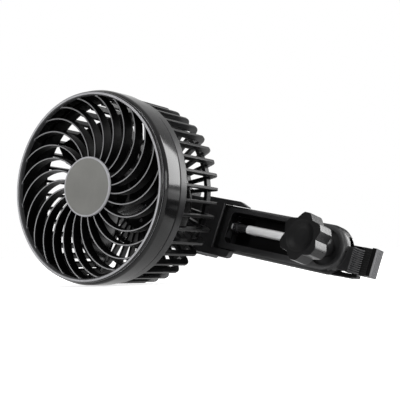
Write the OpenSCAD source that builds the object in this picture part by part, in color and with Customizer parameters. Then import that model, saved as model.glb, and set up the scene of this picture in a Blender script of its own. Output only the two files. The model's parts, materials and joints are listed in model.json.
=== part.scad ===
// Car headrest fan: a caged fan head on a two-way swivel, held by a clamp arm with a sliding hook.
// It lies on its ring, its cage and its hook, as on a table. Z is up, the fan faces -Y, the arm runs to +X.

/* [Fan head] */
// Radius of the rolled front lip, at the middle of its bead
lip_r = 65; // [62:0.5:70]
// How far the wide band stands out beyond the lip
band_step = 3; // [2.5:0.25:3.5]
// Depth of the wide front band
band_d = 17.2; // [16:0.2:19]
// Depth of the rear ring that carries the ribs
rear_ring_d = 9.4; // [8:0.2:11]
// Depth from the lip to the back of the cage
cage_d = 68.8; // [67:0.2:72]
// Radius of the ribs where they turn over to the back
rib_bend_r = 6; // [5.5:0.5:7]
// Number of vanes in the front grille
vane_count = 24; // [18:1:28]
// Thickness of a vane
vane_t = 1.3; // [1:0.1:1.8]
// Number of ribs in the rear cage
rib_count = 40; // [30:1:44]
// Thickness of a rib
rib_t = 2.1; // [1.4:0.1:2.4]
// Radius of the hub cap
cap_r = 21; // [19:0.5:23]

/* [Impeller and motor] */
// Number of impeller blades
blade_count = 3; // [3:1:5]
// Gap between the blade tips and the cage
blade_gap = 5.5; // [4:0.5:8]
// Radius of the motor can
motor_r = 13.5; // [13:0.25:14]
// Radius of the motor shaft
shaft_r = 1.2; // [1:0.1:1.5]

/* [Swivel] */
// How far the head is tipped from the arm as it lies
tilt_rest = 11.3; // [9:0.1:13]
// How far the head is turned from the arm as it lies
pan_rest = 8.3; // [7:0.1:10]
// Radius of the two swivel pins
pin_r = 2.2; // [1.8:0.1:2.5]

/* [Clamp arm] */
// Width of the arm
arm_w = 33.4; // [32.4:0.2:36]
// Depth of the arm
arm_t = 15.5; // [15.5:0.1:17]
// From the swivel to the knob along the arm
knob_x = 152.8; // [148:0.2:158]
// How far the sleeve of the bracket stands out beyond the arm's width
sleeve_step = 4.1; // [3:0.1:6]
// Radius of the polished guide rod
rod_r = 3.2; // [2.6:0.1:3.3]

/* [Clamp] */
// Diameter of the headrest post that the clamp holds
post_d = 10.4; // [10:0.1:11.5]
// Width of the hook and pad along the post
hook_w = 19; // [18:0.5:20]
// Thickness of the hook's lip
lip_t = 4.7; // [4:0.1:6]
// How far the hook slides out
hook_out = 24; // [16:1:24]
// Number of ribs on each pad
pad_ribs = 12; // [8:1:14]

/* [Knob] */
// Radius of the knob over its lobes
knob_r = 16.5; // [16:0.25:18]
// Height of the lobed part of the knob
knob_h = 13; // [10:0.5:14]
// Number of lobes
knob_lobes = 6; // [5:1:8]

/* [Hidden] */
$fn = 96;

// Running clearance of a pin or shaft, seat clearance inside one body, and the gap between moving pieces
fit = 0.05;
seat = 0.02;
gap = 0.3;

// Fan head, measured from the middle of the lip, +Y to the back
bead_r = 1.5;
band_r = lip_r + band_step;
seam = 0.5;
ring_y = band_d + seam;
ring_back = ring_y + rear_ring_d;
ring_r = band_r - 1.2;
ring_wall = 3.2;
rib_h = 5;
rib_top = ring_r - 0.4;
bend_y = cage_d - rib_bend_r;
bend_r0 = ring_r - 1.6 - rib_bend_r;
rib_in = rib_bend_r - rib_h;
back_ring_r = 0.85 * lip_r;
mid_ring_r = 0.6 * lip_r;
plate_r = 27;
plate_y = cage_d - 3.8;
vane_y = 1.2;
vane_d = 8;
hub_r = cap_r - 0.6;
hub_wall = 3.4;
cap_y = -0.5;
cap_t = vane_y - cap_y;

// A vane is one arc from inside the hub ring to inside the band's wall
vane_bow = 0.494 * lip_r;
vane_c = 0.565 * lip_r;
vane_dir = 60.4;
function vane_angle(r) =
    vane_dir - acos((r * r - vane_c * vane_c - vane_bow * vane_bow) / (2 * vane_c * vane_bow));
vane_from = vane_angle(hub_r - 1.4);
vane_to = vane_angle(lip_r - 0.3);

// Impeller, shaft and motor along the axis
spin_y = 25;
cup_room = 3.5;
cup_r = motor_r + cup_room;
cup_d = 22;
blade_r = ring_r - ring_wall - blade_gap;
blade_t = 1.7;
blade_half = 33;
blade_pitch = 25;
blade_bow = 70;
blade_set = 13;
blade_y = spin_y + blade_set;
can_y = 36;
can_wall = 1.2;
can_neck_r = 4;
winding_gap = 4;
winding_back = 7;
shaft_y = spin_y + 2;
shaft_end = plate_y - 1;
end_cap_y = plate_y - 5;
boss_r = 7.4;
screw_off = 10;
screw_r = 1.3;
head_r = 2.4;

// Rear cover, tilt ears and knuckle
cover_r = 25;
cover_y = cage_d + 0.6;
cover_d = 8;
cover_wall = 2;
tilt_y = cage_d + 17.2;
ear_r = 6;
ear_in = 7.5;
ear_t = 5;
pan_off = 11;
barrel_r = 6;
lug_r = 6.5;
lug_in = 8;
lug_t = 5;
pin_head_r = 3.6;
pin_head_t = 1.8;

// Arm, measured from the pan pin; y is 0 on the front rim and z is 0 on the middle line
arm_y = 1.1;
arm_drop = 11.3;
half_w = arm_w / 2;
edge = 2.6;
back_edge = 3.2;
split_y = 8;
split_gap = 0.12;
arm_x0 = 37;
win_x0 = 63;
win_x1 = knob_x - 18.3;
win_top = half_w - 4.8;
win_bot = half_w - 5.8;
win_round = 4;
sleeve_x0 = 33;
sleeve_end = 47;
sleeve_x1 = 70;
sleeve_tip = 77;
sleeve_mouth = 55;
flange_y = 2.8;
rim_x = 58.8;
sleeve_top = half_w + sleeve_step - 1.1;
sleeve_bot = half_w + sleeve_step + 1.1;
sleeve_y0 = -2;
sleeve_y1 = arm_t + 2;
plate_end = -16;
plate_front = 7;
well_r = 12.2;
well_d = 3.8;
stem_r = 2.8;
stem_hole = 4.3;
insert_r = 5;
rod_y = 6;
rod_z = 2;
rod_x0 = 54;
rod_x1 = 78;
rod_end = knob_x - 16.5;
tail_r = rod_r - 0.7;
nut_x = 65.5;
nut_t = 3.4;
nut_r = 4.4;
shell_screw_x = [57, knob_x - 15];
shell_screw_z = half_w - 4.1;
shell_head_r = 1.9;

// Hook, pad and post
post_r = post_d / 2;
post_x = knob_x + 22.9 + post_r;
hook_z = -2.8;
hook_lo = hook_z - hook_w / 2;
hook_hi = hook_z + hook_w / 2;
tongue_half = 10.6;
tongue_x = 81;
tongue_y = rod_y + 0.5;
step_x = knob_x - 10;
wide_x = knob_x + half_w + 2.4;
floor_y = 10.6;
floor_pad = 0.95;
floor_back = floor_y + 2.8;
post_y = floor_y - floor_pad - 0.2 - post_r;
cave_front = tongue_y - gap;
cave_back = floor_back + gap;
cave_half = tongue_half + gap;
hook_in = 2;
slot_half = stem_r + 1.2;
pad_t = 3;
pad_back = post_x - post_r - pad_t;
pad_nose = post_y - 0.68 * post_r;
pad_end = post_y + 0.935 * post_r;
pad_front = pad_nose + pad_t;
pad_hi = hook_hi - 2.3;
pad_pitch = (pad_hi - hook_lo) / pad_ribs;
pad_groove = 0.42 * pad_pitch;
lip_x = post_x + post_r + 0.3;
hook_end = lip_x + lip_t;
lip_y = floor_back - 8;
rib_pitch = hook_w / pad_ribs;
rib_groove = 0.42 * rib_pitch;

// Knob along its own axis, in the arm's frame
knob_back = -15;
stem_set = 3;
knob_front = knob_back - knob_h;
valley_r = knob_r - 3.2;
dish_r = valley_r - 2.4;
neck_r = 9;
neck_end = -3;
foot_r = 6;

// How it lies: it leans back on ring and cage, and the arm rolls down until the hook touches
lean_a = band_r - bend_r0;
lean_b = bend_y - band_d;
lean = acos(rib_bend_r / norm([lean_a, lean_b])) - atan2(lean_b, lean_a);
head_h = band_r * cos(lean) + band_d * sin(lean);

function turn_x(a, p) = [p[0], p[1] * cos(a) - p[2] * sin(a), p[1] * sin(a) + p[2] * cos(a)];
function turn_y(a, p) = [p[0] * cos(a) + p[2] * sin(a), p[1], p[2] * cos(a) - p[0] * sin(a)];
function turn_z(a, p) = [p[0] * cos(a) - p[1] * sin(a), p[0] * sin(a) + p[1] * cos(a), p[2]];
function arm_in_head(p) =
    [0, tilt_y, 0] + turn_x(-tilt_rest, [0, pan_off, 0] + turn_z(-pan_rest, p + [0, arm_y, -arm_drop]));

foot = arm_in_head([hook_end - 0.8, floor_back, hook_lo]);
foot_reach = norm([foot[0], foot[2]]);
foot_drop = (head_h - foot[1] * sin(lean)) / cos(lean);
roll = asin(foot_drop / foot_reach) - atan2(-foot[2], foot[0]);

function laid(p) = [0, 0, head_h] + turn_x(-lean, turn_y(roll, p));

// The middle of the space it takes up goes over the origin
boss_half = 8;
boss_y0 = plate_front + 2.2;
boss_y1 = sleeve_y1 + 2;
boss_z = lug_in + lug_t + 0.5;
far_x = laid(arm_in_head([hook_end, floor_back - 0.8, hook_hi]))[0];
far_y = laid(arm_in_head([-boss_half, boss_y1, arm_drop + boss_z]))[1];
near_y = -bead_r - lip_r * sin(lean);
mid_x = (far_x - band_r) / 2;
mid_y = (far_y + near_y) / 2;

// Colours for a plain look at the solids
dark = [0.15, 0.15, 0.16];
darker = [0.09, 0.09, 0.1];
grey = [0.5, 0.5, 0.51];
steel = [0.78, 0.78, 0.8];
rubber = [0.22, 0.22, 0.23];
brass = [0.75, 0.6, 0.3];

// The piece to draw, or all of them

// Frames: head, knuckle, mount and arm, each inside the one before it
module in_head()
{
    translate([-mid_x, -mid_y, head_h]) rotate([-lean, 0, 0]) rotate([0, roll, 0]) children();
}

// The fan's own grille and blades stand upright as it lies
module in_fan()
{
    in_head() rotate([0, -roll, 0]) children();
}

module in_knuckle()
{
    in_head() translate([0, tilt_y, 0]) rotate([-tilt_rest, 0, 0]) children();
}

module in_mount()
{
    in_knuckle() translate([0, pan_off, 0]) rotate([0, 0, -pan_rest]) children();
}

module in_arm()
{
    in_mount() translate([0, arm_y, -arm_drop]) children();
}

// A turned shape about the fan's axis, drawn as radius and depth
module turned()
{
    rotate([-90, 0, 0]) rotate_extrude() children();
}

// A round bar along Y from y0 to y1
module bar_y(r, y0, y1)
{
    translate([0, y0, 0]) rotate([-90, 0, 0]) cylinder(r = r, h = y1 - y0);
}

// A round bar along X from x0 to x1
module bar_x(r, x0, x1)
{
    translate([x0, 0, 0]) rotate([0, 90, 0]) cylinder(r = r, h = x1 - x0);
}

// A round bar along Z from z0 to z1
module bar_z(r, z0, z1)
{
    translate([0, 0, z0]) cylinder(r = r, h = z1 - z0);
}

// A block between two corners
module block(a, b)
{
    translate(a) cube(b - a);
}

// A flat outline in x and z, as seen from the front, given depth from y0 to y1
module slab(y0, y1)
{
    translate([0, y1, 0]) rotate([90, 0, 0]) linear_extrude(y1 - y0) children();
}

// A block with its four edges along Y rounded
module round_block(a, b, r)
{
    block([a[0] + r, a[1], a[2]], [b[0] - r, b[1], b[2]]);
    block([a[0], a[1], a[2] + r], [b[0], b[1], b[2] - r]);
    for (x = [a[0] + r, b[0] - r], z = [a[2] + r, b[2] - r])
        translate([x, 0, z]) bar_y(r, a[1], b[1]);
}

// One curved vane of the front grille
module vane()
{
    translate([vane_c * cos(vane_dir), vane_y + vane_d, vane_c * sin(vane_dir)])
        rotate([90, 0, 0])
            rotate([0, 0, vane_from])
                rotate_extrude(angle = vane_to - vane_from)
                    translate([vane_bow - vane_t / 2, 0]) square([vane_t, vane_d]);
}

module front_grille()
{
    color(dark) in_fan()
    {
        turned() translate([lip_r, 0]) circle(r = bead_r, $fn = 48);
        turned()
            polygon([
                [lip_r - 1.4, 0.4], [lip_r + 0.7, 0.4], [lip_r + 0.7, 2.2], [lip_r + 1.6, 2.2],
                [band_r - 0.5, 3.4], [band_r, 5], [band_r, band_d], [band_r - 2.2, band_d],
                [band_r - 2.6, vane_y + vane_d + 2], [lip_r - 1.4, vane_y + vane_d + 0.6]
            ]);
        turned() translate([hub_r - hub_wall, vane_y + 0.3]) square([hub_wall, vane_d + 1.2]);
        for (i = [0 : vane_count - 1])
            rotate([0, -i * 360 / vane_count, 0]) vane();
    }
}

module hub_cap()
{
    color(grey) in_fan()
        turned()
            polygon([
                [0, cap_y + 0.35], [cap_r - 1.5, cap_y + 0.35], [cap_r - 1.2, cap_y], [cap_r - 0.5, cap_y],
                [cap_r, cap_y + 0.5], [cap_r, cap_y + cap_t], [hub_r - hub_wall - 0.1, cap_y + cap_t],
                [hub_r - hub_wall - 0.1, cap_y + cap_t + 4], [hub_r - hub_wall - 2, cap_y + cap_t + 4],
                [hub_r - hub_wall - 2, cap_y + cap_t], [0, cap_y + cap_t]
            ]);
}

// One rib of the cage, over the top of the axis
module cage_rib()
{
    rotate([90, 0, 90])
        translate([0, 0, -rib_t / 2])
            linear_extrude(rib_t)
                polygon(concat(
                    [[ring_back - 0.9, rib_top]],
                    [for (a = [0 : 10 : 90]) [bend_y + rib_bend_r * sin(a), bend_r0 + rib_bend_r * cos(a)]],
                    [[cage_d, plate_r - 1], [cage_d - rib_h, plate_r - 1]],
                    [for (a = [90 : -15 : 0]) [bend_y + rib_in * sin(a), bend_r0 + rib_in * cos(a)]],
                    [[ring_back - 0.9, rib_top - rib_h + 0.8]]
                ));
}

module rear_cage()
{
    color(dark) in_fan()
    {
        turned()
            polygon([
                [ring_r - ring_wall, ring_y], [lip_r - 1, ring_y - 3.5], [lip_r - 0.2, ring_y - 3.5],
                [lip_r - 0.2, ring_y], [ring_r, ring_y], [ring_r, ring_back - 0.8],
                [ring_r - 0.8, ring_back], [ring_r - ring_wall, ring_back]
            ]);
        for (i = [0 : rib_count - 1])
            rotate([0, i * 360 / rib_count, 0]) cage_rib();
        turned() translate([back_ring_r - 1.4, cage_d - rib_h - 0.2]) square([2.8, rib_h - 0.3]);
        turned() translate([mid_ring_r - 1.2, cage_d - rib_h - 0.2]) square([2.4, rib_h - 0.3]);
    }
    color(dark) in_head()
        difference()
        {
            bar_y(plate_r, plate_y, cage_d + 0.2);
            bar_y(boss_r + seat, plate_y - 1, cage_d + 1);
            for (s = [-1, 1])
            {
                translate([s * screw_off, 0, 0]) bar_y(screw_r + seat, plate_y - 1, cage_d + 1);
                translate([0, 0, s * (cover_r - 5.5)]) bar_y(screw_r + seat, plate_y - 1, cage_d + 1);
            }
        }
}

// One blade: a bowed sheet set at a slant, trimmed to a rounded outline
module blade()
{
    intersection()
    {
        translate([0, blade_y, 0])
            rotate([blade_pitch, 0, 0])
                translate([0, -blade_bow + 2, 0])
                    difference()
                    {
                        bar_x(blade_bow + blade_t / 2, cup_r - 3, blade_r + 5);
                        bar_x(blade_bow - blade_t / 2, cup_r - 4, blade_r + 6);
                    }
        slab(spin_y - 2, spin_y + 34)
            intersection()
            {
                circle(r = blade_r);
                polygon([
                    [cup_r - 1.5, 9], [cup_r - 1.5, -9],
                    [1.3 * blade_r * cos(blade_half), -1.3 * blade_r * sin(blade_half)],
                    [1.6 * blade_r, 0],
                    [1.3 * blade_r * cos(blade_half), 1.3 * blade_r * sin(blade_half)]
                ]);
            }
    }
}

module impeller()
{
    color(darker) in_fan()
    {
        turned()
            polygon([
                [shaft_r + seat, spin_y + 3], [shaft_r + seat, spin_y + 0.6], [cup_r - 3, spin_y],
                [cup_r - 0.8, spin_y + 0.8], [cup_r, spin_y + 3], [cup_r, spin_y + cup_d],
                [cup_r - 1.8, spin_y + cup_d], [cup_r - 1.8, spin_y + 3]
            ]);
        turned()
            translate([shaft_r + seat, spin_y + 1]) square([3, 8]);
        for (i = [0 : blade_count - 1])
            rotate([0, -i * 360 / blade_count, 0]) blade();
    }
}

module motor_shaft()
{
    color(steel) in_head() bar_y(shaft_r, shaft_y, shaft_end);
}

module motor_armature()
{
    color([0.45, 0.3, 0.18]) in_head()
        difference()
        {
            union()
            {
                bar_y(motor_r - winding_gap, can_y + winding_gap, end_cap_y - winding_back);
                bar_y(motor_r - 9, end_cap_y - winding_back - 0.2, end_cap_y - 2);
            }
            bar_y(shaft_r + seat, can_y, end_cap_y);
        }
}

module motor_can()
{
    color(steel) in_head()
        difference()
        {
            union()
            {
                bar_y(motor_r, can_y, plate_y - 0.1);
                bar_y(can_neck_r, can_y - 1.4, can_y + 1);
            }
            bar_y(motor_r - can_wall, can_y + can_wall, plate_y + 1);
            bar_y(shaft_r + fit, can_y - 3, can_y + 3);
        }
}

module motor_end_cap()
{
    color(darker) in_head()
        difference()
        {
            union()
            {
                bar_y(motor_r - can_wall - seat, end_cap_y, plate_y - 0.1);
                bar_y(boss_r, end_cap_y, cage_d + 0.2);
            }
            bar_y(shaft_r + fit, end_cap_y - 1, shaft_end + 0.5);
            for (s = [-1, 1])
                translate([s * screw_off, 0, 0]) bar_y(screw_r + seat, end_cap_y - 1, cage_d + 1);
        }
}

module motor_screws()
{
    color(steel) in_head()
        for (s = [-1, 1])
            translate([s * screw_off, 0, 0])
            {
                bar_y(screw_r, end_cap_y + 0.5, cage_d + 0.5);
                bar_y(head_r, cage_d + 0.2, cage_d + 1.8);
            }
}

module motor_cover()
{
    color(dark) in_head()
        difference()
        {
            union()
            {
                turned()
                    polygon([
                        [0, cover_y], [cover_r, cover_y], [cover_r, cover_y + cover_d - 2.4],
                        [cover_r - 0.7, cover_y + cover_d - 0.7], [cover_r - 2.4, cover_y + cover_d],
                        [0, cover_y + cover_d]
                    ]);
                for (x = [-ear_in - ear_t, ear_in])
                {
                    block([x, cover_y + cover_d - 1, -ear_r], [x + ear_t, tilt_y, ear_r]);
                    translate([0, tilt_y, 0]) bar_x(ear_r, x, x + ear_t);
                }
            }
            difference()
            {
                bar_y(cover_r - cover_wall, cover_y - 1, cover_y + cover_d - cover_wall);
                for (s = [-1, 1])
                    translate([0, 0, s * (cover_r - 5.5)]) bar_y(head_r + 1, cover_y - 2, cover_y + cover_d);
            }
            translate([0, tilt_y, 0]) bar_x(pin_r + seat, -ear_in - ear_t - 1, ear_in + ear_t + 1);
            for (s = [-1, 1])
                translate([0, 0, s * (cover_r - 5.5)])
                {
                    bar_y(screw_r + seat, cover_y - 2, cover_y + cover_d + 1);
                    bar_y(head_r + 0.1, cover_y + cover_d - 2, cover_y + cover_d + 1);
                }
            translate([0, cover_y + 3.6, 0]) rotate([0, 125, 0]) bar_z(2.6 + seat, cover_r - 4, cover_r + 2);
        }
}

module cover_screws()
{
    color(steel) in_head()
        for (s = [-1, 1])
            translate([0, 0, s * (cover_r - 5.5)])
            {
                bar_y(screw_r, plate_y + 0.3, cover_y + cover_d - 1);
                bar_y(head_r, cover_y + cover_d - 2, cover_y + cover_d - 0.5);
            }
}

// Where the cable would go in; the cable itself is not part of the model
module cable_grommet()
{
    color(rubber) in_head()
        translate([0, cover_y + 3.6, 0])
            rotate([0, 125, 0])
                difference()
                {
                    union()
                    {
                        bar_z(2.6, cover_r - 3.4, cover_r + 1.5);
                        bar_z(3.3, cover_r + 0.1, cover_r + 2.2);
                    }
                    bar_z(1.6, cover_r - 5, cover_r + 4);
                }
}

// A headed pin along X, from one outer face to the other, with a pressed ring on its far end
module pin_x(half)
{
    bar_x(pin_r, -half - 0.2, half + 1);
    bar_x(pin_head_r, -half - 0.1 - pin_head_t, -half - 0.1);
    bar_x(pin_head_r - 0.5, half + 0.1, half + 1.4);
}

module tilt_pin()
{
    color(steel) in_head() translate([0, tilt_y, 0]) pin_x(ear_in + ear_t);
}

module swivel_knuckle()
{
    color(darker) in_knuckle()
        difference()
        {
            union()
            {
                bar_x(barrel_r, -ear_in + gap, ear_in - gap);
                translate([0, pan_off, 0]) bar_z(barrel_r, -lug_in + gap, lug_in - gap);
                block([-ear_in + gap + 1.2, 0, -barrel_r], [ear_in - gap - 1.2, pan_off, barrel_r]);
            }
            bar_x(pin_r + fit, -ear_in - 1, ear_in + 1);
            translate([0, pan_off, 0]) bar_z(pin_r + fit, -lug_in - 1, lug_in + 1);
        }
}

module pan_pin()
{
    color(steel) in_mount() rotate([0, 90, 0]) pin_x(lug_in + lug_t);
}

// Clamp arm

module arm_bracket()
{
    color(dark) in_arm()
        difference()
        {
            union()
            {
                slab(sleeve_y0, flange_y)
                    polygon([
                        [sleeve_x0, 2 - sleeve_bot], [sleeve_x0 + 2, -sleeve_bot],
                        [sleeve_x1 - 1, -sleeve_bot], [sleeve_x1 + 1.3, 0.6 - sleeve_bot],
                        [sleeve_x1 + 2.8, 2 - sleeve_bot], [sleeve_x1 + 3.3, 4 - sleeve_bot],
                        [sleeve_x1 + 3.3, -half_w],
                        [sleeve_tip, half_w], [sleeve_tip, half_w + 0.6], [sleeve_x1, sleeve_top],
                        [sleeve_x0 + 2, sleeve_top], [sleeve_x0, sleeve_top - 2]
                    ]);
                slab(sleeve_y0, sleeve_y1)
                    polygon([
                        [sleeve_x0, 2 - sleeve_bot], [sleeve_x0 + 2, -sleeve_bot],
                        [sleeve_end - 2, -sleeve_bot], [sleeve_end, 2 - sleeve_bot],
                        [sleeve_end, sleeve_top - 2], [sleeve_end - 2, sleeve_top],
                        [sleeve_x0 + 2, sleeve_top], [sleeve_x0, sleeve_top - 2]
                    ]);
                round_block([plate_end, plate_front, -sleeve_bot], [sleeve_x0 + 9, sleeve_y1, sleeve_top], 8);
                translate([0, 0, arm_drop])
                {
                    block([-boss_half, boss_y0, -boss_z], [boss_half, boss_y1, boss_z]);
                    for (z = [-lug_in - lug_t, lug_in])
                    {
                        translate([0, -arm_y, 0]) bar_z(lug_r, z, z + lug_t);
                        block([-lug_r, -arm_y, z], [lug_r, boss_y0 + 1, z + lug_t]);
                    }
                }
            }
            block([arm_x0 - 0.1, -seat, -half_w - seat], [sleeve_tip + 1, arm_t + seat, half_w + seat]);
            block([sleeve_mouth, sleeve_y0 - 1, -half_w - seat], [sleeve_tip + 1, 1, half_w + seat]);
            translate([0, -arm_y, arm_drop]) bar_z(pin_r + seat, -boss_z - 1, boss_z + 1);
        }
}

// A long box with a round end about the knob's axis, drawn as half width and depth
module arm_form(outline)
{
    last = len(outline) - 1;
    translate([knob_x, 0, 0])
        turned() polygon(concat(outline, [[0, outline[last][1]], [0, outline[0][1]]]));
    translate([arm_x0, 0, 0]) rotate([90, 0, 90])
        linear_extrude(knob_x - arm_x0)
            polygon(concat(
                [for (p = outline) [p[1], p[0]]],
                [for (i = [last : -1 : 0]) [outline[i][1], -outline[i][0]]]
            ));
}

module arm_inside()
{
    block([win_x0 - 1, cave_front, -cave_half], [knob_x + half_w + 4, cave_back, cave_half]);
    translate([0, rod_y, rod_z])
    {
        bar_x(tail_r + seat, rod_x0 - 0.3, win_x0 + 3);
        bar_x(rod_r + seat, win_x1 - 2, rod_end + 0.3);
    }
    for (x = shell_screw_x, z = [-shell_screw_z, shell_screw_z])
        translate([x, 0, z]) bar_y(1.2 + seat, 3, arm_t + 1);
}

module arm_front_shell()
{
    color(dark) in_arm()
    {
        difference()
        {
            arm_form([
                [half_w - edge, 0], [half_w - 0.5 * edge, 0.5], [half_w - 0.17 * edge, 0.8 * edge],
                [half_w, 1.7 * edge], [half_w, split_y]
            ]);
            block([arm_x0 - 1, -1, -half_w - 1], [rim_x, flange_y + 0.4, half_w + 1]);
            round_block([win_x0, -1, -win_bot], [win_x1, split_y + 1, win_top], win_round);
            translate([knob_x, 0, 0])
            {
                bar_y(well_r, -1, well_d);
                bar_y(stem_hole, 0, split_y);
            }
            arm_inside();
        }
        difference()
        {
            union()
            {
                block([knob_x + 12, pad_front, hook_lo], [pad_back, cave_front - 0.2, pad_hi]);
                block([knob_x + half_w, pad_front, hook_lo], [pad_back, floor_y - 0.45, pad_hi]);
            }
            translate([knob_x, 0, 0]) bar_y(half_w - 1, -4, 1);
            translate([knob_x, 0, 0]) bar_y(well_r, -4, well_d);
        }
    }
}

module arm_back_shell()
{
    color(dark) in_arm()
    {
        difference()
        {
            arm_form([
                [half_w, split_y + split_gap], [half_w, split_y + 1.5], [half_w - 1, arm_t - back_edge],
                [half_w - back_edge, arm_t]
            ]);
            arm_inside();
            translate([knob_x, 0, 0]) bar_y(insert_r + seat, cave_back - 1, arm_t + 1);
            for (x = shell_screw_x, z = [-shell_screw_z, shell_screw_z])
                translate([x, 0, z]) bar_y(shell_head_r + 0.1, arm_t - 1.6, arm_t + 1);
        }
        slab(split_y + split_gap, 13)
            polygon([
                [knob_x + 2, -half_w + 0.6], [knob_x + 8, -half_w + 0.9], [knob_x + 20, -half_w + 1.3],
                [knob_x + 26, -half_w + 2.4], [knob_x + 26, hook_lo - gap], [knob_x + 2, hook_lo - gap]
            ]);
    }
}

module guide_rod()
{
    color(steel) in_arm()
        translate([0, rod_y, rod_z])
        {
            bar_x(tail_r, rod_x0, rod_x1 + 0.5);
            bar_x(rod_r, rod_x1, rod_end);
        }
}

module rod_sleeve()
{
    color(darker) in_arm()
        translate([0, rod_y, rod_z])
            difference()
            {
                bar_x(rod_r - 0.2, nut_x + nut_t + 0.1, rod_x1 - 0.1);
                bar_x(tail_r + seat, nut_x, rod_x1 + 1);
            }
}

module rod_nut()
{
    color(steel) in_arm()
        translate([0, rod_y, rod_z])
            difference()
            {
                translate([nut_x, 0, 0]) rotate([0, 90, 0]) cylinder(r = nut_r, h = nut_t, $fn = 6);
                bar_x(tail_r + seat, nut_x - 1, nut_x + nut_t + 1);
            }
}

module post_pad()
{
    color(rubber) in_arm()
        difference()
        {
            translate([0, 0, hook_lo])
                linear_extrude(pad_hi - hook_lo)
                    polygon([
                        [pad_back, pad_front], [pad_back + pad_t, pad_nose], [post_x, pad_nose],
                        [post_x, pad_end], [pad_back, pad_end]
                    ]);
            translate([post_x, post_y, 0])
            {
                bar_z(post_r, hook_lo - 1, pad_hi + 1);
                for (i = [1 : pad_ribs - 1])
                    translate([0, 0, hook_lo + i * pad_pitch - pad_groove / 2])
                        bar_z(post_r + 0.9, 0, pad_groove);
            }
        }
}

module shell_screws()
{
    color(steel) in_arm()
        for (x = shell_screw_x, z = [-shell_screw_z, shell_screw_z])
            translate([x, 0, z])
            {
                bar_y(1.2, 3.2, arm_t - 1);
                bar_y(shell_head_r, arm_t - 1.6 + seat, arm_t - 0.6);
            }
}

module threaded_insert()
{
    color(brass) in_arm()
        translate([knob_x, 0, 0])
            difference()
            {
                union()
                {
                    bar_y(insert_r, cave_back, arm_t + 0.5);
                    bar_y(insert_r + 1.2, arm_t + seat, arm_t + 0.8);
                }
                bar_y(stem_r + fit, cave_back - 1, arm_t + 2);
            }
}

// Sliding hook

module clamp_hook()
{
    color(dark) in_arm()
        difference()
        {
            union()
            {
                block([tongue_x, tongue_y, -tongue_half], [step_x, floor_back, tongue_half]);
                block([step_x - 1, floor_y, -tongue_half], [wide_x + 1, floor_back, hook_hi]);
                translate([0, 0, hook_lo])
                    linear_extrude(hook_w)
                        polygon([
                            [wide_x, floor_y], [lip_x, floor_y], [lip_x, lip_y + 0.8], [lip_x + 0.8, lip_y],
                            [hook_end - 0.8, lip_y], [hook_end, lip_y + 0.8],
                            [hook_end, floor_back - 0.8], [hook_end - 0.8, floor_back],
                            [wide_x, floor_back]
                        ]);
            }
            translate([0, rod_y, rod_z]) bar_x(rod_r + gap, tongue_x - 1, step_x + 1);
            block([knob_x - hook_out - 0.4, 0, -slot_half], [knob_x + hook_in + 0.4, 20, slot_half]);
            for (x = [knob_x - hook_out - 0.4, knob_x + hook_in + 0.4])
                translate([x, 0, 0]) bar_y(slot_half, 0, 20);
            for (i = [1 : 4])
                block([hook_end - 0.35, lip_y + 0.3 + i * 1.4, hook_lo - 1],
                    [hook_end + 1, lip_y + 0.75 + i * 1.4, hook_hi + 1]);
        }
}

module hook_pad()
{
    color(rubber) in_arm()
    {
        block([post_x - post_r + 1, floor_y - floor_pad / 2, hook_lo], [lip_x - 0.3, floor_y, hook_hi]);
        for (i = [0 : pad_ribs - 1])
            block([post_x - post_r + 1, floor_y - floor_pad, hook_lo + i * rib_pitch + rib_groove / 2],
                [lip_x - 0.3, floor_y, hook_lo + (i + 1) * rib_pitch - rib_groove / 2]);
    }
}

// Locking knob

module lock_knob()
{
    color(darker) in_arm()
        translate([knob_x, 0, 0])
            difference()
            {
                union()
                {
                    slab(knob_front, knob_back)
                        rotate(28)
                            polygon([
                                for (i = [0 : knob_lobes - 1], k = [-14, -8, 8, 14, 180 / knob_lobes])
                                    (abs(k) == 8 ? knob_r : abs(k) == 14 ? knob_r - 0.9 : valley_r)
                                        * [cos(i * 360 / knob_lobes + k), sin(i * 360 / knob_lobes + k)]
                            ]);
                    bar_y(neck_r, knob_back - 1, neck_end);
                    bar_y(foot_r, neck_end - 1, well_d - 0.6);
                }
                turned()
                    polygon([
                        [0, knob_front - 1], [dish_r, knob_front - 1], [dish_r, knob_front],
                        [dish_r - 1.6, knob_front + 1.2], [dish_r - 4.6, knob_front + 2.4],
                        [0, knob_front + 3]
                    ]);
                bar_y(stem_r + seat, knob_back + stem_set, well_d + 1);
            }
}

module knob_screw()
{
    color(steel) in_arm()
        translate([knob_x, 0, 0]) bar_y(stem_r, knob_back + stem_set + 0.2, arm_t + 0.3);
}

front_grille();
hub_cap();
rear_cage();
impeller();
motor_shaft();
motor_armature();
motor_can();
motor_end_cap();
motor_screws();
motor_cover();
cover_screws();
cable_grommet();
tilt_pin();
swivel_knuckle();
pan_pin();
arm_bracket();
arm_front_shell();
arm_back_shell();
guide_rod();
rod_sleeve();
rod_nut();
post_pad();
shell_screws();
threaded_insert();
clamp_hook();
hook_pad();
lock_knob();
knob_screw();
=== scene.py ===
import json
import math

import bmesh
import bpy
from mathutils import Matrix, Vector


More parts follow.
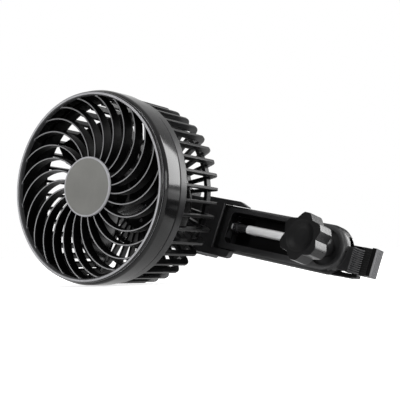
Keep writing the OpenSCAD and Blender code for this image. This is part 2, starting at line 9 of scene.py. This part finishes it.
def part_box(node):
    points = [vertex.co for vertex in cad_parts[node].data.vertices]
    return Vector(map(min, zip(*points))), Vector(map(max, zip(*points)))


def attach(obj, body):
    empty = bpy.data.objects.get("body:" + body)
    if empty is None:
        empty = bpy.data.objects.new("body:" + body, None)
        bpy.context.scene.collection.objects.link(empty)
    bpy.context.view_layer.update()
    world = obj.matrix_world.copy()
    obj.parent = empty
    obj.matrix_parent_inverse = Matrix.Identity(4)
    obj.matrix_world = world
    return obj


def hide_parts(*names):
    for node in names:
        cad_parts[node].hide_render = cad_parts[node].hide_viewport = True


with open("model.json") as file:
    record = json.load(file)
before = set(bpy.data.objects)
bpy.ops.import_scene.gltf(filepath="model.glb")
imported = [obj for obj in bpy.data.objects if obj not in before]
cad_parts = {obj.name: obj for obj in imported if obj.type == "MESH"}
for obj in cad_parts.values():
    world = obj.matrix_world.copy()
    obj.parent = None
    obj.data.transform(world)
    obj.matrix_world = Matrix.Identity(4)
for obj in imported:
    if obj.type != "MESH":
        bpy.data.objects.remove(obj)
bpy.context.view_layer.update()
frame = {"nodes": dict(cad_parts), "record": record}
nodes = frame["nodes"]
record = frame["record"]
MM = 0.001

# Sizes of the fan and the hook, where a material begins or ends
BORE_R = 63.4 * MM  # inside of the front lip
BORE_SLACK = 1.0 * MM  # how far inside of it the faces of its wall may lie
LIP_R = 66.0 * MM  # outer edge of the lip's front
LIP_WALL = 4.0 * MM  # depth of the wall inside the lip that gets painted light
RING_R = 66.8 * MM  # outside of the rear ring
RING_D = 9.4 * MM  # depth of the rear ring
RING_SLACK = 1.2 * MM  # how far inside of it the ring's outer faces may lie
RING_EDGE = 0.1 * MM  # the same for the points of its front edge
SEAM_SHADE = 2.3 * MM  # width of the black strip of painted shade at the front of the rear ring
CAP_R = 21.0 * MM  # outside of the hub cap
CAP_RIM = 1.4 * MM  # width of its rim, which gets a painted highlight
HOOK_LIP = 8.0 * MM  # length of the hook's end whose outward faces get painted light

# Cosines of the angle between a face's normal and a direction
STRAIGHT = 0.95
LIP_FACING = 0.86
NEARLY = 0.8
HALF = 0.5
PARTLY = 0.3
INWARD = -0.2

# Steps of the rounding
WELD = 0.002 * MM
CUT_SLACK = 0.001 * MM
BOX_SLACK = 0.02 * MM
NARROWER = 0.6
NORMAL_WEIGHT = 80
SHARP_ANGLE = 38.0
VANE_ANGLE = 58.0
KNOB_ANGLE = 20.0

# Noise scales, and how they change shade, gloss and rubbed edges
SLOW_SCALE = 38.0
RUB_SCALE = 300.0
METAL_SCALE = 60.0
NOISE_LOW, NOISE_MID, NOISE_HIGH = 0.3, 0.5, 0.7
DARKER, LIGHTER, METAL_DARKER = 0.86, 1.14, 0.94
EDGE_FROM, EDGE_TO = 0.52, 0.6
RUB_LEAST = 0.35
RUB_GAIN, RUB_ADD = 1.8, 0.02
BUMP_DEPTH = 0.02 * MM
LINES_BUMP = 0.12
LEAST_ROUGH = 0.02

# Colour sockets of the mix node
MIX_FIRST, MIX_SECOND, MIX_RESULT = 6, 7, 2

# Light that the world gives, and the white that camera, gloss and glass see
WORLD_LIGHT, WORLD_WHITE = 0.3, 1.0
FLOOR_GREY, FLOOR_ROUGH, FLOOR_GLOW = 0.9, 0.8, 0.76
FLOOR_HALF, FLOOR_DROP = 4.0, 0.3 * MM

# The photograph's camera
CAMERA_AT = (0.490365, -0.681684, 0.02334)
CAMERA_RIGHT = (0.808152, 0.588132, -0.031473)
CAMERA_AHEAD = (-0.586888, 0.808633, 0.040932)
LENS, SENSOR, CLIP_START = 108.0, 36.0, 0.01


# Where the fan's axis and the arm lie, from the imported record

joints = {j["name"]: j for j in record["behaviour"]["joints"]}
axle_at = Vector(joints["fan_spin"]["pos_m"])
axle = Vector(joints["fan_spin"]["axis"]).normalized()
front = -axle
arm_at = Vector(joints["knob_turn"]["pos_m"])
arm_out = Vector(joints["hook_slide"]["axis"]).normalized()
arm_front = -Vector(joints["knob_turn"]["axis"]).normalized()
arm_up = arm_front.cross(arm_out).normalized()
body_of_node = {n: b for b, held in record["behaviour"]["bodies"].items() for n in held}


def from_axle(p):
    """Distance of a point from the fan's axle, and the unit direction away from it."""
    away = p - axle_at
    away = away - away.dot(axle) * axle
    return away.length, away.normalized()


def along_axle(p):
    return (p - axle_at).dot(axle)


def along_arm(p):
    return (p - arm_at).dot(arm_out)


# Node helpers

def new_material(name):
    m = bpy.data.materials.new(name)
    m.use_nodes = True
    t = m.node_tree
    return m, t, t.nodes["Principled BSDF"]


def link(t, a, b):
    t.links.new(a, b)


def noise(t, coord, scale, detail=3.0, rough=0.55):
    n = t.nodes.new("ShaderNodeTexNoise")
    n.inputs["Scale"].default_value = scale
    n.inputs["Detail"].default_value = detail
    n.inputs["Roughness"].default_value = rough
    link(t, coord, n.inputs["Vector"])
    return n.outputs["Fac"]


def ramp(t, fac, stops):
    r = t.nodes.new("ShaderNodeValToRGB")
    e = r.color_ramp.elements
    e[0].position, e[0].color = stops[0][0], (*stops[0][1], 1)
    e[1].position, e[1].color = stops[-1][0], (*stops[-1][1], 1)
    for pos, col in stops[1:-1]:
        x = e.new(pos)
        x.color = (*col, 1)
    link(t, fac, r.inputs["Fac"])
    return r.outputs["Color"]


def spread(t, fac, low, high, start=NOISE_LOW, stop=NOISE_HIGH):
    m = t.nodes.new("ShaderNodeMapRange")
    m.inputs["From Min"].default_value = start
    m.inputs["From Max"].default_value = stop
    m.inputs["To Min"].default_value = low
    m.inputs["To Max"].default_value = high
    link(t, fac, m.inputs["Value"])
    return m.outputs["Result"]


def add_bump(t, bsdf, height, strength):
    b = t.nodes.new("ShaderNodeBump")
    b.inputs["Strength"].default_value = strength
    b.inputs["Distance"].default_value = BUMP_DEPTH
    link(t, height, b.inputs["Height"])
    link(t, b.outputs["Normal"], bsdf.inputs["Normal"])


def rubbed(t, obj, tone, colour, wear):
    """The tone, paler in patches along the edges."""
    geo = t.nodes.new("ShaderNodeNewGeometry").outputs["Pointiness"]
    rub = t.nodes.new("ShaderNodeMath")
    rub.operation = "MULTIPLY"
    link(t, spread(t, geo, 0.0, wear, EDGE_FROM, EDGE_TO), rub.inputs[0])
    link(t, spread(t, noise(t, obj, RUB_SCALE), RUB_LEAST, 1.0), rub.inputs[1])
    mix = t.nodes.new("ShaderNodeMix")
    mix.data_type = "RGBA"
    link(t, rub.outputs[0], mix.inputs["Factor"])
    link(t, tone, mix.inputs[MIX_FIRST])
    mix.inputs[MIX_SECOND].default_value = (*[c * RUB_GAIN + RUB_ADD for c in colour], 1)
    return mix.outputs[MIX_RESULT]


def moulded(name, grey, rough, grain=2600.0, strength=0.25, vary=0.05, wear=0.5, spec=0.5, blue=1.05):
    """Moulded plastic: fine grain, slow changes of gloss and shade, and edges rubbed a little lighter."""
    m, t, p = new_material(name)
    colour = (grey, grey, grey * blue)
    obj = t.nodes.new("ShaderNodeTexCoord").outputs["Object"]
    slow = noise(t, obj, SLOW_SCALE, detail=4.0)
    fine = noise(t, obj, grain, detail=2.0)
    dark = tuple(c * DARKER for c in colour)
    light = tuple(c * LIGHTER for c in colour)
    tone = ramp(t, slow, [(NOISE_LOW, dark), (NOISE_MID, colour), (NOISE_HIGH, light)])
    if wear:
        tone = rubbed(t, obj, tone, colour, wear)
    link(t, tone, p.inputs["Base Color"])
    link(t, spread(t, slow, rough - vary, rough + vary), p.inputs["Roughness"])
    p.inputs["Specular IOR Level"].default_value = spec
    add_bump(t, p, fine, strength)
    return m


def metal(name, colour, rough, lines, vary=0.03, amount=1.0):
    """Metal with faint turned or drawn lines; lines holds the noise scale along each axis."""
    m, t, p = new_material(name)
    obj = t.nodes.new("ShaderNodeTexCoord").outputs["Object"]
    slow = noise(t, obj, METAL_SCALE)
    dark = tuple(c * METAL_DARKER for c in colour)
    p.inputs["Metallic"].default_value = amount
    link(t, ramp(t, slow, [(NOISE_LOW, dark), (NOISE_HIGH, colour)]), p.inputs["Base Color"])
    link(t, spread(t, slow, max(LEAST_ROUGH, rough - vary), rough + vary), p.inputs["Roughness"])
    s = t.nodes.new("ShaderNodeMapping")
    s.inputs["Scale"].default_value = lines
    link(t, obj, s.inputs["Vector"])
    add_bump(t, p, noise(t, s.outputs["Vector"], 1.0, detail=2.0), LINES_BUMP)
    return m


# Materials, by name, grey level or colour, and roughness

mats = {
    "ring": moulded("ring_plastic", 0.005, 0.12, grain=1500, strength=0.02, vary=0.02, wear=0.4, spec=0.2),
    "back_ring": moulded("back_ring_plastic", 0.01, 0.3, grain=1500, strength=0.06, wear=0.4, spec=0.2),
    # lip: a painted highlight, pale grey on the faces of the lip's front
    "lip": moulded("lip_painted_highlight_plastic", 0.31, 0.25, grain=1500, strength=0.06, wear=0.3),
    # lip_in_painted_light: painted light, grey on the wall inside the lip
    "lip_in_painted_light": moulded("lip_in_painted_light_plastic", 0.035, 0.35, grain=1500, strength=0.06, wear=0.0, spec=0.3),
    # bead: a painted highlight on the vanes' front edges
    "bead": moulded("bead_painted_highlight_plastic", 0.11, 0.28, grain=1500, strength=0.06, wear=0.4),
    # vane: painted shade, a darker and duller copy of the grille plastic for the vanes and the inside of
    # the band
    "vane": moulded("vane_painted_shade_plastic", 0.0018, 0.42, grain=1800, strength=0.1, wear=0.0, spec=0.03),
    "cage": moulded("cage_plastic", 0.005, 0.32, strength=0.1, wear=0.4, spec=0.13),
    # inside: painted shade, black, on the arm's window, the hook's notch and the strip at the rear ring's
    # front
    "inside": moulded("painted_shade_plastic", 0.002, 0.5, grain=1800, strength=0.2, wear=0.0, spec=0.05),
    "cap": moulded("cap_plastic", 0.17, 0.62, grain=3400, strength=0.4, wear=0.0, spec=0.3, blue=0.94),
    # cap_rim_painted_highlight: a painted highlight, a paler copy of the cap plastic on its rim
    "cap_rim_painted_highlight": moulded("cap_rim_painted_highlight_plastic", 0.32, 0.4, grain=2400, strength=0.1, wear=0.0),
    "blades": moulded("blade_plastic", 0.004, 0.2, grain=1500, strength=0.05, wear=0.3, spec=0.15),
    "arm": moulded("arm_plastic", 0.017, 0.34, strength=0.2, spec=0.33),
    # arm_low_painted_shade: painted shade, a darker and duller copy of the arm plastic on faces that point
    # up or down
    "arm_low_painted_shade": moulded("arm_low_painted_shade_plastic", 0.013, 0.55, strength=0.2, wear=0.4, spec=0.04),
    # bracket: its own dark plastic, made a little paler than the arm as painted light that lifts the fan
    # head's shade on it
    "bracket": moulded("bracket_plastic", 0.02, 0.36, spec=0.35),
    # pad_side_painted_light: painted light, a paler grey on the pad's front
    "pad_side_painted_light": moulded("pad_side_painted_light_plastic", 0.055, 0.4, strength=0.2, wear=0.4, spec=0.45),
    "hook": moulded("hook_plastic", 0.02, 0.45, grain=2400, strength=0.3, spec=0.35),
    # hook_lip_painted_light: painted light, a paler copy of the hook plastic on the lip's outward faces
    "hook_lip_painted_light": moulded("hook_lip_painted_light_plastic", 0.1, 0.4, grain=2400, strength=0.3, wear=0.4),
    "knob": moulded("knob_plastic", 0.01, 0.3, grain=2200, strength=0.15, spec=0.24),
    # knob_face_painted_shade: painted shade, a darker and duller copy of the knob plastic on the front
    # faces
    "knob_face_painted_shade": moulded("knob_face_painted_shade_plastic", 0.004, 0.42, grain=2200, strength=0.2, wear=0.4, spec=0.09),
    "pad": moulded("pad_rubber", 0.004, 0.6, grain=1800, strength=0.5, wear=0.0, spec=0.2),
    # tooth: painted light, a grey copy of the pad rubber on the ribs' sides that face the post
    "tooth": moulded("tooth_painted_light_rubber", 0.05, 0.55, grain=1800, strength=0.5, wear=0.3, spec=0.3),
    # rod: a painted reflection, near white and mostly not metallic, in place of the chrome's bright
    # reflections
    "rod": metal("rod_painted_reflection_steel", (0.97, 0.97, 0.98), 0.1, (60.0, 2600.0, 2600.0), vary=0.02, amount=0.15),
    "steel": metal("screw_steel", (0.35, 0.35, 0.37), 0.28, (900.0, 900.0, 90.0)),
    "brass": metal("insert_brass", (0.72, 0.55, 0.26), 0.3, (600.0, 600.0, 600.0)),
    "winding": metal("winding_copper", (0.5, 0.24, 0.12), 0.4, (200.0, 2400.0, 200.0)),
}

look = {
    "front_grille": "ring", "hub_cap": "cap", "rear_cage": "cage", "impeller": "blades",
    "motor_shaft": "steel", "motor_armature": "winding", "motor_can": "steel", "motor_end_cap": "knob",
    "motor_screws": "steel", "motor_cover": "cage", "cover_screws": "steel", "cable_grommet": "pad",
    "tilt_pin": "steel", "swivel_knuckle": "knob", "pan_pin": "steel", "arm_bracket": "bracket",
    "arm_front_shell": "arm", "arm_back_shell": "arm", "guide_rod": "rod", "rod_sleeve": "knob",
    "rod_nut": "steel", "post_pad": "pad", "shell_screws": "steel", "threaded_insert": "brass",
    "clamp_hook": "hook", "hook_pad": "pad", "lock_knob": "knob", "knob_screw": "steel",
}

for name, obj in nodes.items():
    obj.data.materials.clear()
    obj.data.materials.append(mats[look[name]])


# Moulded pieces: copies of the solids with their sharp edges rounded

def is_sharp(e, angle):
    return e.is_manifold and e.calc_face_angle() > math.radians(angle)


def softened(node, width, segments, angle):
    """The node's mesh, welded, with edges sharper than angle rounded by width."""
    bm = bmesh.new()
    bm.from_mesh(nodes[node].data)
    bmesh.ops.remove_doubles(bm, verts=bm.verts, dist=WELD)
    bmesh.ops.bevel(
        bm, geom=[e for e in bm.edges if is_sharp(e, angle)], offset=width, offset_type="OFFSET",
        segments=segments, profile=0.5, affect="EDGES", clamp_overlap=False, loop_slide=True,
        miter_outer="SHARP", miter_inner="SHARP",
    )
    bmesh.ops.triangulate(bm, faces=[f for f in bm.faces if len(f.verts) > 4])
    bm.normal_update()
    return bm


def stays_in(bm, node):
    """True if no point of the mesh lies outside the node's own box."""
    low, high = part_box(node)
    return all(
        low[i] - BOX_SLACK < v.co[i] < high[i] + BOX_SLACK for v in bm.verts for i in range(3)
    )


def rounded(node, width, segments=2, angle=SHARP_ANGLE, parts=None, cut=None):
    """Piece that stands for a node, its edges rounded by width, or by less if it would leave its box.

    parts(face) gives the material of a face. cut is a distance along the fan's axle, and the faces
    that cross it are split there.
    """
    bm = softened(node, width, segments, angle)
    while not stays_in(bm, node):
        bm.free()
        width = NARROWER * width
        bm = softened(node, width, segments, angle)
    if cut is not None:
        geom = bm.verts[:] + bm.edges[:] + bm.faces[:]
        at = axle_at + cut * axle
        bmesh.ops.bisect_plane(bm, geom=geom, plane_co=at, plane_no=axle, dist=CUT_SLACK)
    names = [look[node]]
    for f in bm.faces:
        f.smooth = True
        kind = parts(f) if parts else look[node]
        if kind not in names:
            names.append(kind)
        f.material_index = names.index(kind)
    for e in bm.edges:
        e.smooth = not is_sharp(e, angle)
    mesh = bpy.data.meshes.new(node + "_moulded")
    bm.to_mesh(mesh)
    bm.free()
    for kind in names:
        mesh.materials.append(mats[kind])
    obj = bpy.data.objects.new(node + "_moulded", mesh)
    bpy.context.scene.collection.objects.link(obj)
    even = obj.modifiers.new("even_normals", "WEIGHTED_NORMAL")
    even.keep_sharp = True
    even.weight = NORMAL_WEIGHT
    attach(obj, body_of_node[node])
    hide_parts(node)


def grille_parts(f):
    """Painted highlights on the lip's front and vane edges, painted light on the wall inside the lip,
    painted shade on the vanes and inside of the band.
    """
    at = f.calc_center_median()
    r, out = from_axle(at)
    facing = f.normal.dot(front)
    outward = f.normal.dot(out)
    if r > BORE_R - BORE_SLACK and outward < -HALF and along_axle(at) < lip_at + LIP_WALL:
        return "lip_in_painted_light"
    if r < BORE_R and facing > STRAIGHT:
        return "bead"
    if BORE_R < r < LIP_R and facing > LIP_FACING:
        return "lip"
    if r < BORE_R or outward < INWARD:
        return "vane"
    return "ring"


def cage_parts(f):
    """The rear ring has a soft gloss; a black strip at its front is painted shade between it and the band
    in front.
    """
    at = f.calc_center_median()
    r, out = from_axle(at)
    behind = along_axle(at) - ring_at
    if r < RING_R - RING_SLACK or behind > RING_D or f.normal.dot(out) < HALF:
        return "cage"
    return "inside" if behind < SEAM_SHADE else "back_ring"


def arm_parts(f):
    """Faces that look into the arm's long window get painted shade, black; its top and underside get a
    darker, duller painted-shade copy of the arm plastic.
    """
    side = (f.calc_center_median() - arm_at).dot(arm_up)
    upward = f.normal.dot(arm_up)
    if abs(f.normal.dot(arm_front)) < HALF and side * upward < 0.0:
        return "inside"
    return "arm_low_painted_shade" if abs(upward) > NEARLY else "arm"


def bracket_parts(f):
    """The bracket's underside gets painted shade, the darker and duller copy of the arm plastic."""
    return "arm_low_painted_shade" if f.normal.dot(arm_up) < -NEARLY else "bracket"


def floor_parts(f):
    """The window's floor gets painted shade, black; the arm's top and underside get the darker, duller
    painted-shade copy.
    """
    if f.normal.dot(arm_front) > PARTLY:
        return "inside"
    return "arm_low_painted_shade" if abs(f.normal.dot(arm_up)) > NEARLY else "arm"


def hook_parts(f):
    """The lip's outward faces near its end get painted light, a paler copy of the hook plastic, and what
    faces the front gets painted shade, black.
    """
    if along_arm(f.calc_center_median()) > lip_from and f.normal.dot(arm_out) > PARTLY:
        return "hook_lip_painted_light"
    return "inside" if f.normal.dot(arm_front) > PARTLY else "hook"


def pad_parts(f):
    """Ribs of the pad on the arm get painted light, grey, where they face the post, and are black between.
    Its front gets painted light too, a paler satin grey.
    """
    if f.normal.dot(arm_front) > NEARLY:
        return "pad_side_painted_light"
    return "tooth" if f.normal.dot(arm_out) > HALF else "pad"


def knob_parts(f):
    """The knob's front gets painted shade, a darker and duller copy of its plastic than on its lobes."""
    return "knob_face_painted_shade" if f.normal.dot(arm_front) > HALF else "knob"


def cap_parts(f):
    """The cap's raised rim gets a painted highlight, a paler copy of the cap plastic."""
    r, _ = from_axle(f.calc_center_median())
    return "cap_rim_painted_highlight" if r > CAP_R - CAP_RIM and f.normal.dot(axle) < PARTLY else "cap"


# The lip's front and the rear ring's front edge, along the axle
lip_at = min(along_axle(v.co) for v in nodes["front_grille"].data.vertices)
ring_at = min(
    along_axle(v.co) for v in nodes["rear_cage"].data.vertices
    if from_axle(v.co)[0] > RING_R - RING_EDGE
)

# Where the hook's lip begins, along the arm
lip_from = max(along_arm(v.co) for v in nodes["clamp_hook"].data.vertices) - HOOK_LIP

rounded("front_grille", 0.25 * MM, angle=VANE_ANGLE, parts=grille_parts, cut=lip_at + LIP_WALL)
rounded("hub_cap", 0.25 * MM, parts=cap_parts)
rounded("rear_cage", 0.3 * MM, parts=cage_parts, cut=ring_at + SEAM_SHADE)
rounded("impeller", 0.25 * MM)
rounded("motor_cover", 0.35 * MM)
rounded("swivel_knuckle", 0.18 * MM)
rounded("arm_bracket", 0.5 * MM, parts=bracket_parts)
rounded("arm_front_shell", 0.17 * MM, segments=3, parts=arm_parts)
rounded("arm_back_shell", 0.35 * MM, parts=floor_parts)
rounded("post_pad", 0.12 * MM, parts=pad_parts)
rounded("clamp_hook", 0.3 * MM, parts=hook_parts)
rounded("lock_knob", 0.5 * MM, segments=3, angle=KNOB_ANGLE, parts=knob_parts)


# Light, floor and camera

def area(name, spot, at, size, size_y, power):
    """Rectangular lamp at spot, turned towards at."""
    data = bpy.data.lights.new(name, "AREA")
    data.shape = "RECTANGLE"
    data.size, data.size_y, data.energy = size, size_y, power
    o = bpy.data.objects.new(name, data)
    bpy.context.scene.collection.objects.link(o)
    o.location = spot
    o.rotation_euler = (Vector(at) - Vector(spot)).to_track_quat("-Z", "Y").to_euler()


def seen_level(t, unseen, seen, socket):
    """Sets one strength for rays from the camera, a gloss or a glass, and another for the rest."""
    path = t.nodes.new("ShaderNodeLightPath")
    last = path.outputs["Is Camera Ray"]
    for kind in ("Is Glossy Ray", "Is Transmission Ray"):
        either = t.nodes.new("ShaderNodeMath")
        either.operation = "MAXIMUM"
        link(t, last, either.inputs[0])
        link(t, path.outputs[kind], either.inputs[1])
        last = either.outputs[0]
    link(t, spread(t, last, unseen, seen, 0.0, 1.0), socket)


area("softbox_right", (0.80, 0.95, 0.53), (0.0, 0.0, 0.05), 0.5, 0.92, 19.0)
area("softbox_low", (1.05, -0.30, 0.22), (0.08, 0.0, 0.04), 0.5, 0.35, 4.5)
area("strip_left", (-0.88, -0.98, 0.13), (0.0, 0.0, 0.06), 0.9, 0.22, 3.2)
area("softbox_front", (0.1, -1.0, 1.3), (0.0, 0.0, 0.06), 0.8, 0.5, 9.0)

world = bpy.data.worlds.new("studio")
bpy.context.scene.world = world
world.use_nodes = True
back = world.node_tree.nodes["Background"]
back.inputs["Color"].default_value = (1, 1, 1, 1)
seen_level(world.node_tree, WORLD_LIGHT, WORLD_WHITE, back.inputs["Strength"])

corners = [(x * FLOOR_HALF, y * FLOOR_HALF, 0) for x, y in ((-1, -1), (1, -1), (1, 1), (-1, 1))]
floor_mesh = bpy.data.meshes.new("floor")
floor_mesh.from_pydata(corners, [], [(0, 1, 2, 3)])
floor = bpy.data.objects.new("floor", floor_mesh)
bpy.context.scene.collection.objects.link(floor)
floor.location.z = -FLOOR_DROP
fm, ft, fp = new_material("floor_white")
fp.inputs["Base Color"].default_value = (FLOOR_GREY, FLOOR_GREY, FLOOR_GREY, 1)
fp.inputs["Roughness"].default_value = FLOOR_ROUGH
fp.inputs["Emission Color"].default_value = (1, 1, 1, 1)
seen_level(ft, 0.0, FLOOR_GLOW, fp.inputs["Emission Strength"])
floor_mesh.materials.append(fm)

cam_data = bpy.data.cameras.new("camera")
cam_data.sensor_width = SENSOR
cam_data.lens = LENS
cam_data.clip_start = CLIP_START
cam = bpy.data.objects.new("camera", cam_data)
bpy.context.scene.collection.objects.link(cam)
right = Vector(CAMERA_RIGHT).normalized()
ahead = Vector(CAMERA_AHEAD)
ahead = (ahead - ahead.dot(right) * right).normalized()
up = right.cross(ahead)
cam.matrix_world = Matrix((
    (right.x, up.x, -ahead.x, CAMERA_AT[0]),
    (right.y, up.y, -ahead.y, CAMERA_AT[1]),
    (right.z, up.z, -ahead.z, CAMERA_AT[2]),
    (0, 0, 0, 1),
))
bpy.context.scene.camera = cam

bpy.context.scene.view_settings.view_transform = "Standard"
